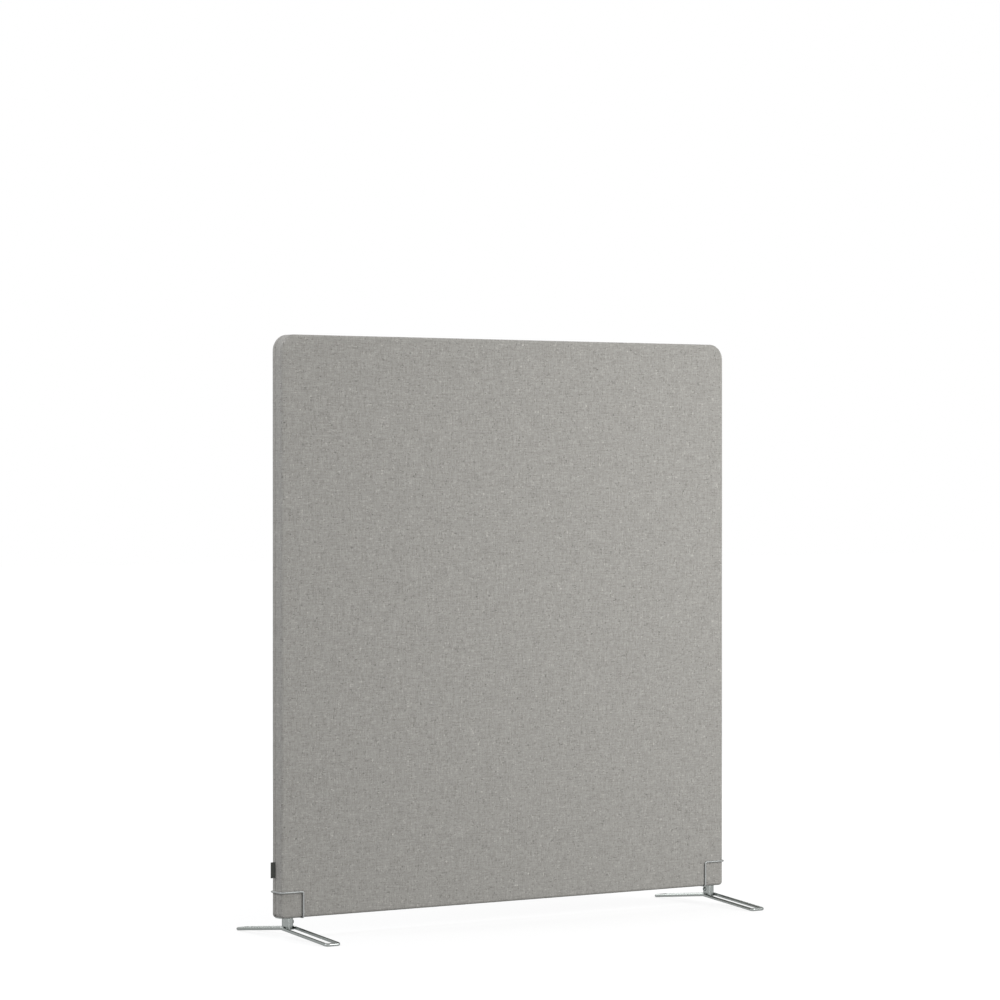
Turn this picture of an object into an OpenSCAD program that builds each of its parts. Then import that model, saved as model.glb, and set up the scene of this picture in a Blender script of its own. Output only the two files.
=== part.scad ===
// Free-standing acoustic divider screen: an upholstered panel carried by two bent-rod feet.
// Front face towards -Y, width along X, floor at z = 0, origin on the floor under the panel's middle.

/* [Panel] */
// Width of the panel
panel_w = 1200; // [800:10:1600]
// Height of the panel
panel_h = 1246.5; // [900:0.5:1600]
// Thickness of the panel
panel_t = 40; // [36:1:60]
// Height of the panel's underside above the floor
floor_gap = 43.5; // [42:0.5:60]
// Corner radius at the top, seen from the front
top_corner_r = 35; // [20:1:60]
// Corner radius at the bottom, seen from the front
bottom_corner_r = 8; // [8:1:14]
// Rounding of the cloth along the panel's edges
edge_r = 6; // [5:0.5:8]

/* [Cover] */
// Thickness of the woven cover
cloth_t = 1.5; // [1:0.1:2]
// Thickness of the wadding under the cover
pad_t = 2.5; // [2:0.1:3]
// Distance of the cover's seam behind the panel's middle plane
seam_y = 6; // [0:0.5:8]
// Width of the slit between the folded cloth edges under the panel
slit_w = 8; // [6:0.5:10]
// Height of the woven side tag
tag_h = 34; // [20:1:50]
// Length of the side tag that stands out of the seam
tag_reach = 11.5; // [6:0.5:18]
// Thickness of the folded side tag
tag_t = 1; // [0.6:0.1:1.4]
// Height of the side tag's middle above the panel's underside
tag_rise = 102.5; // [80:0.5:400]

/* [Core] */
// Width of a frame member, seen from the front
member_w = 45; // [41:1:60]
// Thickness of the centre board
board_t = 3; // [2.5:0.1:6]
// Depth of the groove that holds the centre board
groove_depth = 8; // [5:0.5:10]
// Diameter of a frame dowel
dowel_d = 8; // [6:1:9]
// Length of a frame dowel
dowel_len = 40; // [30:1:48]
// Distance between the two dowels of a frame corner
dowel_pitch = 20; // [16:1:22]

/* [Staples] */
// Length of a staple's crown
staple_w = 10; // [8:0.5:12]
// Length of a staple's legs
staple_leg = 10; // [8:0.5:14]
// Width of the staple wire
staple_wire_w = 1.2; // [0.8:0.1:1.4]
// Thickness of the staple wire
staple_wire_t = 0.6; // [0.4:0.1:0.8]
// Distance between neighbouring staples
staple_pitch = 80; // [50:5:120]

/* [Bracket] */
// Distance from the panel's side to the post's axis
post_inset = 27; // [27:0.5:60]
// Diameter of the corner wire
wire_d = 4; // [3:0.5:5]
// Depth that the wire's run under the panel is let into the underside
wire_sink = 2.5; // [1:0.1:2.6]
// Height of the corner wire above the panel's underside
wire_rise = 55.5; // [40:0.5:90]
// Centreline radius of the corner wire's tight bends
wire_bend_r = 4; // [3.5:0.5:6]
// Thickness of the bracket plate
plate_t = 2.5; // [2.5:0.1:4]
// Depth that the bracket plate is let into the panel's underside
plate_sink = 2; // [1.5:0.1:2.2]
// Width of the bracket plate, along the panel's thickness
plate_w = 26; // [24:1:32]
// Corner radius of the bracket plate
plate_corner_r = 4; // [2:0.5:8]
// Diameter of the spigot's tenon in the bracket plate
tenon_d = 12; // [8:0.5:14]

/* [Bracket screws] */
// Diameter of a countersunk wood screw
screw_d = 4; // [3.5:0.1:4.5]
// Head diameter of a countersunk wood screw
screw_head_d = 8; // [7:0.1:9]
// Length of a countersunk wood screw, head included
screw_len = 25; // [16:1:28]

/* [Foot] */
// Outer diameter of the post tube
post_d = 24; // [23:0.5:28]
// Wall of the post tube
post_wall = 3.5; // [3:0.1:4]
// Diameter of the foot's rod
rod_d = 7; // [6:0.5:8]
// Gap between the post and the rod beside it, filled by the weld beads
weld_gap = 0.5; // [0.2:0.05:0.6]
// Length of the foot over its two end bars
foot_len = 368; // [300:2:460]
// Rise of the foot from its end bars to its middle
apex_rise = 18.3; // [14:0.1:20]
// Centreline radius of the foot's end corners
foot_corner_r = 6; // [5:0.5:12]
// Depth of the flat under each end bar
flat_depth = 0.3; // [0.2:0.05:0.5]

/* [Clamp screw] */
// Thread diameter of the clamp screw
clamp_d = 5; // [4:1:6]
// Head diameter of the clamp screw
clamp_head_d = 9.5; // [8:0.1:10.5]
// Head height of the clamp screw
clamp_head_h = 2.8; // [2.6:0.1:3.4]
// Diameter of the clamp screw's dog point
clamp_tip_d = 3.5; // [3:0.1:3.8]
// Width across flats of the clamp screw's socket
clamp_socket = 3; // [2.5:0.5:4]
// Distance from the bracket plate down to the clamp screw's axis
clamp_drop = 8.6; // [6:0.1:10]
// Depth of the spigot's groove for the dog point
groove_d = 1.5; // [1:0.1:2]

/* [Hidden] */
$fn = 64;
hull_fn = 32;
rod_fn = 32;

// Clearances
fit_gap = 0.25;
running_gap = 0.05;
dowel_gap = 0.05;
swivel_gap = 0.2;
wire_gap = 0.3;
overrun = 1;

// Heights of the panel
panel_z0 = floor_gap;
panel_z1 = panel_z0 + panel_h;
tag_z = panel_z0 + tag_rise;

// Core under the cover and the wadding
wrap_t = cloth_t + pad_t;
core_w = panel_w - 2 * wrap_t;
core_t = panel_t - 2 * wrap_t;
core_z0 = panel_z0 + wrap_t;
core_z1 = panel_z1 - wrap_t;
core_top_r = top_corner_r - wrap_t;
core_bottom_r = bottom_corner_r - wrap_t;
bay_w = core_w - 2 * member_w;
bay_z0 = core_z0 + member_w;
bay_z1 = core_z1 - member_w;
bay_h = bay_z1 - bay_z0;
board_w = bay_w + 2 * (groove_depth - fit_gap);
board_h = bay_h + 2 * (groove_depth - fit_gap);
groove_w = board_t + fit_gap;
stile_x = core_w / 2 - member_w / 2;
dowel_x = stile_x + groove_depth / 2;

// Bracket under each lower corner
post_x = panel_w / 2 - post_inset;
plate_z0 = panel_z0 + plate_sink - plate_t;
plate_margin = 2.125;
plate_l = post_d + 2 * (screw_head_d + 2 * plate_margin);
screw_x = post_d / 2 + plate_margin + screw_head_d / 2;
screw_hole_d = screw_d + 2 * fit_gap;
screw_head_t = (screw_head_d - screw_d) / 2;
screw_tip_len = screw_d;
recess_w = screw_d / 4;
recess_l = screw_head_d / 2;
recess_depth = screw_head_t * 0.7;
wire_in_x = plate_l / 2 + fit_gap + wire_d / 2;
wire_out_x = post_inset + wire_gap + wire_d / 2;
wire_y = panel_t / 2 + wire_gap + wire_d / 2;
wire_z0 = panel_z0 + wire_sink - wire_d / 2;
wire_z1 = panel_z0 + wire_rise;
wire_side_r = edge_r + wire_gap + wire_d / 2;
plate_weld_d = wire_d / 2;
plate_weld_l = plate_w / 4;

// Foot
rod_x = post_d / 2 + weld_gap + rod_d / 2;
rod_z0 = rod_d / 2 - flat_depth;
apex_z = rod_z0 + apex_rise;
half_len = foot_len / 2 - rod_d / 2;
leg_angle = atan(apex_rise / half_len);
leg_len = half_len / cos(leg_angle);
post_z0 = apex_z - rod_d / 2;
post_z1 = plate_z0 - swivel_gap;
post_bore_d = post_d - 2 * post_wall;
foot_weld_d = rod_d * 0.4;
foot_weld_l = rod_d * 1.5;

// Spigot and clamp screw
spigot_d = post_bore_d - 2 * running_gap;
spigot_recess = post_wall;
spigot_z0 = post_z0 + spigot_recess;
spigot_chamfer = running_gap * 10;
clamp_z = plate_z0 - clamp_drop;
clamp_hole_d = clamp_d + 2 * running_gap;
clamp_shank_x = spigot_d / 2 + 2 * running_gap;
clamp_tip_x = spigot_d / 2 - groove_d + 2 * running_gap;
clamp_seat_x = post_d / 2 + wire_gap;
clamp_cap_h = clamp_head_h * 0.75;
clamp_cap_r = (pow(clamp_head_d / 2, 2) + pow(clamp_cap_h, 2)) / (2 * clamp_cap_h);
clamp_socket_depth = clamp_head_h * 0.6;
groove_h = clamp_tip_d + 2 * wire_gap;

// Staples
staple_y = (slit_w / 2 + panel_t / 2 - edge_r) / 2;
staple_span = 2 * (post_x - wire_in_x - staple_w);
staple_count = floor(staple_span / staple_pitch) + 1;

function unit(v) = v / norm(v);
function turn_angle(u, v) = acos(max(-1, min(1, u * v)));
function tangent_len(a, b, c, r) = r * tan(turn_angle(unit(b - a), unit(c - b)) / 2);
// Matrix that puts local X along x, local Z along z and the origin at p
function placed(x, z, p) = let (y = cross(z, x)) [
    [x[0], y[0], z[0], p[0]],
    [x[1], y[1], z[1], p[1]],
    [x[2], y[2], z[2], p[2]],
    [0, 0, 0, 1]
];
// A unit direction square to z
function square_to(z) = unit(cross(z, abs(z[0]) < 0.5 ? [1, 0, 0] : [0, 1, 0]));

// Round rod between two points
module straight_rod(p, q, d) {
    z = unit(q - p);
    multmatrix(placed(square_to(z), z, p)) cylinder(d = d, h = norm(q - p), $fn = rod_fn);
}

// Round rod bent about corner b of the path a, b, c
module bend_rod(a, b, c, r, d) {
    u = unit(b - a);
    v = unit(c - b);
    turn = turn_angle(u, v);
    centre = b + unit(v - u) * r / cos(turn / 2);
    start = b - u * tangent_len(a, b, c, r);
    multmatrix(placed(unit(start - centre), unit(cross(u, v)), centre))
        rotate_extrude(angle = turn, $fn = rod_fn) translate([r, 0]) circle(d = d, $fn = rod_fn);
}

// Closed loop of round rod through the points, bent to each point's own centreline radius
module closed_rod(points, radii, d) {
    n = len(points);
    for (i = [0:n - 1]) {
        a = points[(i + n - 1) % n];
        b = points[i];
        c = points[(i + 1) % n];
        e = points[(i + 2) % n];
        along = unit(c - b);
        bend_rod(a, b, c, radii[i], d);
        straight_rod(
            b + along * tangent_len(a, b, c, radii[i]),
            c - along * tangent_len(b, c, e, radii[(i + 1) % n]),
            d
        );
    }
}

// Rectangle with round corners, centred on the origin
module round_rect(w, h, r) {
    square([w - 2 * r, h], center = true);
    square([w, h - 2 * r], center = true);
    for (x = [-1, 1], y = [-1, 1]) translate([x * (w / 2 - r), y * (h / 2 - r)]) circle(r = r);
}

// Front view of the core: wide round corners on top, small ones at the bottom
module core_outline() {
    x_top = core_w / 2 - core_top_r;
    x_low = core_w / 2 - core_bottom_r;
    translate([-core_w / 2, core_z0 + core_bottom_r])
        square([core_w, core_z1 - core_z0 - core_bottom_r - core_top_r]);
    translate([-x_low, core_z0]) square([2 * x_low, core_bottom_r]);
    translate([-x_top, core_z1 - core_top_r]) square([2 * x_top, core_top_r]);
    for (x = [-1, 1]) {
        translate([x * x_low, core_z0 + core_bottom_r]) circle(r = core_bottom_r);
        translate([x * x_top, core_z1 - core_top_r]) circle(r = core_top_r);
    }
}

// The core as one solid block
module core_block() {
    translate([0, core_t / 2, 0]) rotate([90, 0, 0]) linear_extrude(core_t) core_outline();
}

// Disc across the panel's thickness, with its rims rounded
module soft_disc(r, rim_r, t) {
    rotate([90, 0, 0]) rotate_extrude($fn = hull_fn) {
        translate([0, -t / 2]) square([r - rim_r, t]);
        translate([0, rim_r - t / 2]) square([r, t - 2 * rim_r]);
        for (y = [-1, 1]) intersection() {
            translate([r - rim_r, y * (t / 2 - rim_r)]) circle(r = rim_r, $fn = hull_fn);
            translate([0, -t / 2]) square([r, t]);
        }
    }
}

// The upholstered panel's outer form, taken in by an inset on all sides
module soft_block(inset) {
    r_top = top_corner_r - inset;
    r_low = bottom_corner_r - inset;
    rim_r = edge_r - inset;
    t = panel_t - 2 * inset;
    hull() for (x = [-1, 1]) {
        translate([x * (panel_w / 2 - top_corner_r), 0, panel_z1 - top_corner_r])
            soft_disc(r_top, rim_r, t);
        translate([x * (panel_w / 2 - bottom_corner_r), 0, panel_z0 + bottom_corner_r])
            soft_disc(r_low, rim_r, t);
    }
}

// Everything beyond a plane across the panel's thickness, between two heights; side is -1 to keep the front
module beyond(side, y, z0, z1) {
    depth = 2 * panel_t;
    translate([-panel_w, side < 0 ? y : y - depth, z0]) cube([2 * panel_w, depth, z1 - z0]);
}

// What belongs to the other half: the seam runs behind the middle, and turns to the middle under the panel
module other_half(side) {
    turn_z = panel_z0 + bottom_corner_r;
    beyond(side, seam_y, turn_z, panel_z1 + overrun);
    beyond(side, 0, panel_z0 - overrun, turn_z);
}

// The open slit under the panel, where the folded edges stop
module slit() {
    translate([-panel_w / 2, -slit_w / 2, panel_z0 - overrun])
        cube([panel_w, slit_w, bottom_corner_r + overrun]);
}

// Room for the tag's sewn-in end
module tag_slot() {
    t = tag_t + 2 * running_gap;
    translate([-panel_w / 2 - overrun, seam_y - t / 2, tag_z - tag_h / 2])
        cube([cloth_t + overrun, t, tag_h]);
}

// Room in the panel's underside for the bracket plates
module plate_pockets() {
    for (side = [-1, 1]) on_side(side) translate([0, 0, panel_z0 - overrun])
        linear_extrude(plate_sink + overrun)
            round_rect(plate_l + 2 * fit_gap, plate_w + 2 * fit_gap, plate_corner_r + fit_gap);
}

// Room in the panel's underside for the corner wires' runs beside the plates
module wire_slots() {
    w = wire_d + 2 * wire_gap;
    for (side = [-1, 1]) on_side(side)
        translate([-wire_in_x - w / 2, -panel_t / 2 - overrun, panel_z0 - overrun])
            cube([w, panel_t + 2 * overrun, wire_sink + wire_gap + overrun]);
}

module half_cover(side) {
    color("#96948f") difference() {
        soft_block(0);
        soft_block(cloth_t);
        other_half(side);
        slit();
        tag_slot();
        plate_pockets();
        wire_slots();
    }
}

module half_wadding(side) {
    color("#e4e2da") difference() {
        soft_block(cloth_t);
        core_block();
        other_half(side);
        slit();
        plate_pockets();
        wire_slots();
    }
}

module absorber(side) {
    t = (core_t - board_t) / 2;
    color("#b9bcb4") translate([0, side * (board_t + t) / 2, (bay_z0 + bay_z1) / 2])
        cube([bay_w - 2 * fit_gap, t, bay_h - 2 * fit_gap], center = true);
}

module centre_board() {
    color("#7d6a52") translate([0, 0, (bay_z0 + bay_z1) / 2])
        cube([board_w, board_t, board_h], center = true);
}

// Groove that the centre board sits in, all round
module board_groove() {
    translate([0, 0, (bay_z0 + bay_z1) / 2])
        cube([bay_w + 2 * groove_depth, groove_w, bay_h + 2 * groove_depth], center = true);
}

// Places of the dowels at the two corners of one rail
module at_dowels(z) {
    for (side = [-1, 1], x = [-1, 1]) translate([side * dowel_x + x * dowel_pitch / 2, 0, z]) children();
}

module dowel_holes() {
    for (z = [bay_z0, bay_z1]) at_dowels(z)
        cylinder(d = dowel_d + 2 * dowel_gap, h = dowel_len + 2 * overrun, center = true);
}

module frame_dowels() {
    color("#c9a877") for (z = [bay_z0, bay_z1]) at_dowels(z)
        cylinder(d = dowel_d, h = dowel_len, center = true);
}

// Full-width rail between two heights
module rail(z0, z1) {
    difference() {
        intersection() {
            core_block();
            translate([-core_w, -core_t, z0]) cube([2 * core_w, 2 * core_t, z1 - z0]);
        }
        board_groove();
        dowel_holes();
    }
}

module frame_top_rail() {
    color("#d8bb8a") rail(bay_z1, core_z1);
}

module frame_bottom_rail() {
    color("#d8bb8a") difference() {
        rail(core_z0, bay_z0);
        for (side = [-1, 1]) pilot_holes(side);
    }
}

module stile(side) {
    color("#d8bb8a") difference() {
        translate([side * stile_x, 0, (bay_z0 + bay_z1) / 2])
            cube([member_w, core_t, bay_h], center = true);
        board_groove();
        dowel_holes();
    }
}

module staple() {
    translate([-staple_w / 2, -staple_wire_w / 2, -staple_wire_t])
        cube([staple_w, staple_wire_w, staple_wire_t]);
    for (x = [-staple_w / 2, staple_w / 2 - staple_wire_t])
        translate([x, -staple_wire_w / 2, -staple_wire_t])
            cube([staple_wire_t, staple_wire_w, staple_leg + staple_wire_t]);
}

module cover_staples() {
    first_x = -(staple_count - 1) * staple_pitch / 2;
    color("#a9abad") for (y = [-1, 1], i = [0:staple_count - 1])
        translate([first_x + i * staple_pitch, y * staple_y, panel_z0]) staple();
}

module side_tag() {
    r = tag_t / 2;
    x_out = -panel_w / 2 - tag_reach + r;
    color("#4b4e4a") translate([0, seam_y, tag_z - tag_h / 2]) {
        translate([x_out, -r, 0]) cube([tag_reach - r + cloth_t, tag_t, tag_h]);
        translate([x_out, 0, 0]) cylinder(r = r, h = tag_h);
    }
}

// The bracket and foot modules are drawn for the right side, outboard towards +X, and mirrored
module on_side(side) {
    mirror([side < 0 ? 1 : 0, 0, 0]) translate([post_x, 0, 0]) children();
}

module corner_wire(side) {
    path = [
        [-wire_in_x, -wire_y, wire_z0], [-wire_in_x, -wire_y, wire_z1],
        [wire_out_x, -wire_y, wire_z1], [wire_out_x, wire_y, wire_z1],
        [-wire_in_x, wire_y, wire_z1], [-wire_in_x, wire_y, wire_z0]
    ];
    radii = [wire_bend_r, wire_bend_r, wire_side_r, wire_side_r, wire_bend_r, wire_bend_r];
    color("#c3c6c4") on_side(side) closed_rod(path, radii, wire_d);
}

module bracket_plate(side) {
    color("#a7adab") on_side(side) difference() {
        translate([0, 0, plate_z0]) linear_extrude(plate_t) round_rect(plate_l, plate_w, plate_corner_r);
        translate([0, 0, plate_z0 - overrun])
            cylinder(d = tenon_d + 2 * running_gap, h = plate_t + 2 * overrun);
        for (x = [-1, 1]) translate([x * screw_x, 0, plate_z0]) {
            translate([0, 0, -overrun]) cylinder(d = screw_hole_d, h = plate_t + 2 * overrun);
            translate([0, 0, -overrun]) cylinder(d = screw_head_d + 2 * fit_gap, h = overrun);
            cylinder(d1 = screw_head_d + 2 * fit_gap, d2 = screw_d + 2 * fit_gap, h = screw_head_t);
        }
    }
}

// Straight weld bead along Y with round ends
module bead(d, l) {
    rotate([90, 0, 0]) cylinder(d = d, h = l - d, center = true);
    for (end = [-1, 1]) translate([0, end * (l - d) / 2, 0]) sphere(d = d);
}

// Weld beads between the wire's run under the panel and the plate's end
module bracket_welds(side) {
    color("#8d9290") on_side(side) for (y = [-1, 1])
        translate([-wire_in_x + wire_d / 2, y * plate_w / 4, plate_z0 + plate_weld_d / 4])
            bead(plate_weld_d, plate_weld_l);
}

module spigot(side) {
    body_h = plate_z0 - spigot_z0;
    color("#9aa09d") on_side(side) difference() {
        union() {
            translate([0, 0, spigot_z0]) cylinder(
                d1 = spigot_d - 2 * spigot_chamfer, d2 = spigot_d, h = spigot_chamfer);
            translate([0, 0, spigot_z0 + spigot_chamfer]) cylinder(d = spigot_d, h = body_h - spigot_chamfer);
            translate([0, 0, plate_z0]) cylinder(d = tenon_d, h = plate_t - running_gap);
        }
        translate([0, 0, clamp_z - groove_h / 2]) rotate_extrude()
            translate([spigot_d / 2 - groove_d, 0]) square([groove_d + overrun, groove_h]);
    }
}

module bracket_screw() {
    difference() {
        union() {
            cylinder(d1 = screw_head_d, d2 = screw_d, h = screw_head_t);
            cylinder(d = screw_d, h = screw_len - screw_tip_len);
            translate([0, 0, screw_len - screw_tip_len])
                cylinder(d1 = screw_d, d2 = screw_d / 4, h = screw_tip_len);
        }
        for (a = [0, 90]) rotate([0, 0, a]) translate([-recess_l / 2, -recess_w / 2, -overrun])
            cube([recess_l, recess_w, recess_depth + overrun]);
    }
}

module bracket_screws(side) {
    color("#b4b6b2") on_side(side) for (x = [-1, 1])
        translate([x * screw_x, 0, plate_z0]) bracket_screw();
}

// Holes in the bottom rail for the bracket screws
module pilot_holes(side) {
    on_side(side) for (x = [-1, 1]) translate([x * screw_x, 0, plate_z0])
        cylinder(d = screw_d + 2 * running_gap, h = screw_len + overrun);
}

module post_tube(side) {
    color("#a3aaa7") on_side(side) difference() {
        translate([0, 0, post_z0]) cylinder(d = post_d, h = post_z1 - post_z0);
        translate([0, 0, post_z0 - overrun]) cylinder(d = post_bore_d, h = post_z1 - post_z0 + 2 * overrun);
        translate([-post_d / 2 - overrun, 0, clamp_z]) rotate([0, 90, 0])
            cylinder(d = clamp_hole_d, h = post_d / 2 + overrun);
    }
}

// Front half of the foot's loop, drawn flat, its legs run on a little past the middle of the foot
module half_loop() {
    corner_x = rod_x - foot_corner_r;
    corner_y = foot_corner_r - leg_len;
    for (x = [-1, 1]) {
        translate([x * rod_x, corner_y, 0]) rotate([-90, 0, 0])
            cylinder(d = rod_d, h = rod_d - corner_y, $fn = rod_fn);
        translate([x * corner_x, corner_y, 0]) rotate([0, 0, x < 0 ? 180 : 270])
            rotate_extrude(angle = 90, $fn = rod_fn)
                translate([foot_corner_r, 0]) circle(d = rod_d, $fn = rod_fn);
    }
    translate([-corner_x, -leg_len, 0]) rotate([0, 90, 0]) cylinder(d = rod_d, h = 2 * corner_x, $fn = rod_fn);
}

// Closed loop of rod, bent up at its middle, with a flat under each end bar
module foot_loop(side) {
    color("#adb3b0") on_side(side) for (y = [0, 1]) mirror([0, y, 0]) difference() {
        translate([0, 0, apex_z]) rotate([leg_angle, 0, 0]) half_loop();
        translate([-foot_len, 0, 0]) cube([2 * foot_len, 2 * rod_d, apex_z + rod_d]);
        translate([-foot_len, -foot_len, -rod_d]) cube([2 * foot_len, 2 * foot_len, rod_d]);
    }
}

// Weld beads where the rods pass the post, one above and one below each rod's middle
module foot_welds(side) {
    lift = rod_d / 2 - foot_weld_d / 4;
    color("#8f9592") on_side(side) for (x = [-1, 1], z = [-1, 1])
        translate([x * (post_d / 2 + foot_weld_d / 4), 0, apex_z + z * lift]) bead(foot_weld_d, foot_weld_l);
}

// Button head screw on the post's inboard side, its dog point in the spigot's groove
module clamp_screw(side) {
    color("#6f7472") on_side(side) translate([0, 0, clamp_z]) rotate([0, -90, 0]) difference() {
        union() {
            translate([0, 0, clamp_tip_x]) cylinder(d = clamp_tip_d, h = clamp_shank_x - clamp_tip_x);
            translate([0, 0, clamp_shank_x]) cylinder(d = clamp_d, h = clamp_seat_x - clamp_shank_x);
            intersection() {
                translate([0, 0, clamp_seat_x]) cylinder(d = clamp_head_d, h = clamp_head_h);
                translate([0, 0, clamp_seat_x + clamp_head_h - clamp_cap_r]) sphere(r = clamp_cap_r);
            }
        }
        translate([0, 0, clamp_seat_x + clamp_head_h - clamp_socket_depth])
            cylinder(d = clamp_socket / cos(30), h = clamp_socket_depth + overrun, $fn = 6);
    }
}

frame_top_rail();
frame_bottom_rail();
stile(-1);  // frame_left_stile
stile(1);  // frame_right_stile
frame_dowels();
centre_board();
absorber(-1);  // front_absorber
absorber(1);  // back_absorber
half_wadding(-1);  // front_wadding
half_wadding(1);  // back_wadding
half_cover(-1);  // front_cover
half_cover(1);  // back_cover
cover_staples();
side_tag();
corner_wire(-1);  // left_corner_wire
corner_wire(1);  // right_corner_wire
bracket_plate(-1);  // left_bracket_plate
bracket_plate(1);  // right_bracket_plate
bracket_welds(-1);  // left_bracket_welds
bracket_welds(1);  // right_bracket_welds
spigot(-1);  // left_spigot
spigot(1);  // right_spigot
bracket_screws(-1);  // left_bracket_screws
bracket_screws(1);  // right_bracket_screws
post_tube(-1);  // left_post_tube
post_tube(1);  // right_post_tube
foot_loop(-1);  // left_foot_loop
foot_loop(1);  // right_foot_loop
foot_welds(-1);  // left_foot_welds
foot_welds(1);  // right_foot_welds
clamp_screw(-1);  // left_clamp_screw
clamp_screw(1);  // right_clamp_screw
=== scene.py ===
"""Looks of a free-standing acoustic screen: cloth, tag, wires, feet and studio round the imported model."""

import math

import bmesh
import bpy
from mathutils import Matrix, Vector


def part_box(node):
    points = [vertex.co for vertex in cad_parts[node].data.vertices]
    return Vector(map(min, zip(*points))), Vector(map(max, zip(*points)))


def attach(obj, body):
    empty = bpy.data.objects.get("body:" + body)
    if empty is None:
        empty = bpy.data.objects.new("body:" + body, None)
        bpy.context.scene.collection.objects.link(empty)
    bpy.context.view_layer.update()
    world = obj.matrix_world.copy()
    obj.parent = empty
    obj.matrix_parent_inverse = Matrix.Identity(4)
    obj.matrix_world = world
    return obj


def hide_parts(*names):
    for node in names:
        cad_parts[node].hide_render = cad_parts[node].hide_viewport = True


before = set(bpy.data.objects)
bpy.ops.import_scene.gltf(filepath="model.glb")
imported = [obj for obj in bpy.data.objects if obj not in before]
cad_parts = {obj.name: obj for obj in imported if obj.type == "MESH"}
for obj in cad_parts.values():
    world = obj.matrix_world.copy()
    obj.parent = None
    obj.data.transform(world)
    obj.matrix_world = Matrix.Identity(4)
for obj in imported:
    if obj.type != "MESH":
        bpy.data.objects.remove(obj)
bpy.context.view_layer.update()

MM = 0.001

# Panel and cloth
TOP_CORNER_R = 35 * MM
TOP_CORNER_STEPS = 14
BOTTOM_CORNER_R = 8 * MM
BOTTOM_CORNER_STEPS = 8
EDGE_R = 6 * MM
EDGE_STEPS = 6
# How much longer the cloth runs round its rim than the rim's radius
RIM_EXTRA = EDGE_R * (math.pi / 2 - 1)
CLOTH_T = 1.4 * MM
SEAM_ROLL_R = 1.6 * MM
SEAM_ROLL_STEPS = 4
SEAM_GAP = 0.05 * MM
HEM_DEPTH = 3.4 * MM
SLIT_HALF = 4 * MM
CLOTH_CELL = 30 * MM
PRESS_GAP = 0.25 * MM
PRESS_SLOPE = 3 * MM
CLOTH_DIP = 0.25 * MM
CLOTH_DIP_SPAN = 140 * MM

# Side tag
TAG_PLY_T = 0.3 * MM
TAG_FOLD_R = 0.32 * MM
TAG_FOLD_STEPS = 8
TAG_CELL = 2 * MM

# Metalwork
ROD_D = 7 * MM
ROD_SIDES = 32
FOOT_CORNER_R = 6 * MM
FLAT_DEPTH = 0.3 * MM
APEX_BEND_R = 40 * MM
WIRE_D = 4 * MM
WIRE_SIDES = 24
WIRE_BEND_R = 4 * MM
WIRE_SIDE_R = 8.3 * MM
BEND_STEP = math.radians(9)
LEAST_BEND_STEPS = 3
POST_SIDES = 96
POST_WALL = 3.5 * MM
POST_LIP_R = 0.7 * MM
POST_LIP_STEPS = 3
CLAMP_HOLE_D = 5.1 * MM
CLAMP_HOLE_SIDES = 32
DRILL_LENGTH = 3 * POST_WALL

# Points nearer than this are one point
MERGE = 0.01 * MM
# Faces that turn by less than this are shaded as one surface, and edges that turn by more are sharp folds
SMOOTH_ANGLE = math.radians(35)
FOLD_ANGLE = math.radians(60)


def deselect():
    """Leave edit mode with nothing selected."""
    if bpy.context.object and bpy.context.object.mode != "OBJECT":
        bpy.ops.object.mode_set(mode="OBJECT")
    bpy.ops.object.select_all(action="DESELECT")


def pick(kind, test):
    """Select the parts of one kind, VERT, EDGE or FACE, of the mesh in edit mode that pass the test."""
    bpy.ops.mesh.select_mode(type=kind)
    bpy.ops.mesh.select_all(action="DESELECT")
    mesh = bmesh.from_edit_mesh(bpy.context.object.data)
    for part in {"VERT": mesh.verts, "EDGE": mesh.edges, "FACE": mesh.faces}[kind]:
        if test(part):
            part.select_set(True)
    mesh.select_flush_mode()
    bmesh.update_edit_mesh(bpy.context.object.data)


def middle(part):
    """Middle of an edge or face."""
    return sum((v.co for v in part.verts), Vector()) / len(part.verts)


def apply_modifier(piece, kind, **settings):
    """Add a modifier with its settings and apply it."""
    bpy.context.view_layer.objects.active = piece
    modifier = piece.modifiers.new(kind.lower(), kind)
    for name, value in settings.items():
        setattr(modifier, name, value)
    bpy.ops.object.modifier_apply(modifier=modifier.name)


def edit(piece):
    """Open one piece in edit mode."""
    deselect()
    piece.select_set(True)
    bpy.context.view_layer.objects.active = piece
    bpy.ops.object.mode_set(mode="EDIT")


def settle(piece, name):
    """Name a modelled piece and put its place in its mesh, its object at the origin."""
    deselect()
    piece.name = piece.data.name = name
    piece.select_set(True)
    bpy.context.view_layer.objects.active = piece
    bpy.ops.object.transform_apply(location=True, rotation=True, scale=True)
    deselect()
    return piece


def finish_piece(piece, body, material, nodes):
    """Smooth a piece, give it its material and body, and hide the nodes that it stands for."""
    piece.select_set(True)
    bpy.context.view_layer.objects.active = piece
    bpy.ops.object.shade_smooth_by_angle(angle=SMOOTH_ANGLE)
    # Large faces keep their own direction, so a straight doesn't seem to lean towards the bend at its end
    apply_modifier(piece, "WEIGHTED_NORMAL", keep_sharp=True)
    piece.data.materials.clear()
    piece.data.materials.append(material)
    deselect()
    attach(piece, body)
    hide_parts(*nodes)


# Materials

def linear(code):
    """An sRGB hex colour as linear red, green, blue and alpha."""
    shares = [int(code[i:i + 2], 16) / 255 for i in (1, 3, 5)]
    return [s / 12.92 if s <= 0.04045 else ((s + 0.055) / 1.055) ** 2.4 for s in shares] + [1]


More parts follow.
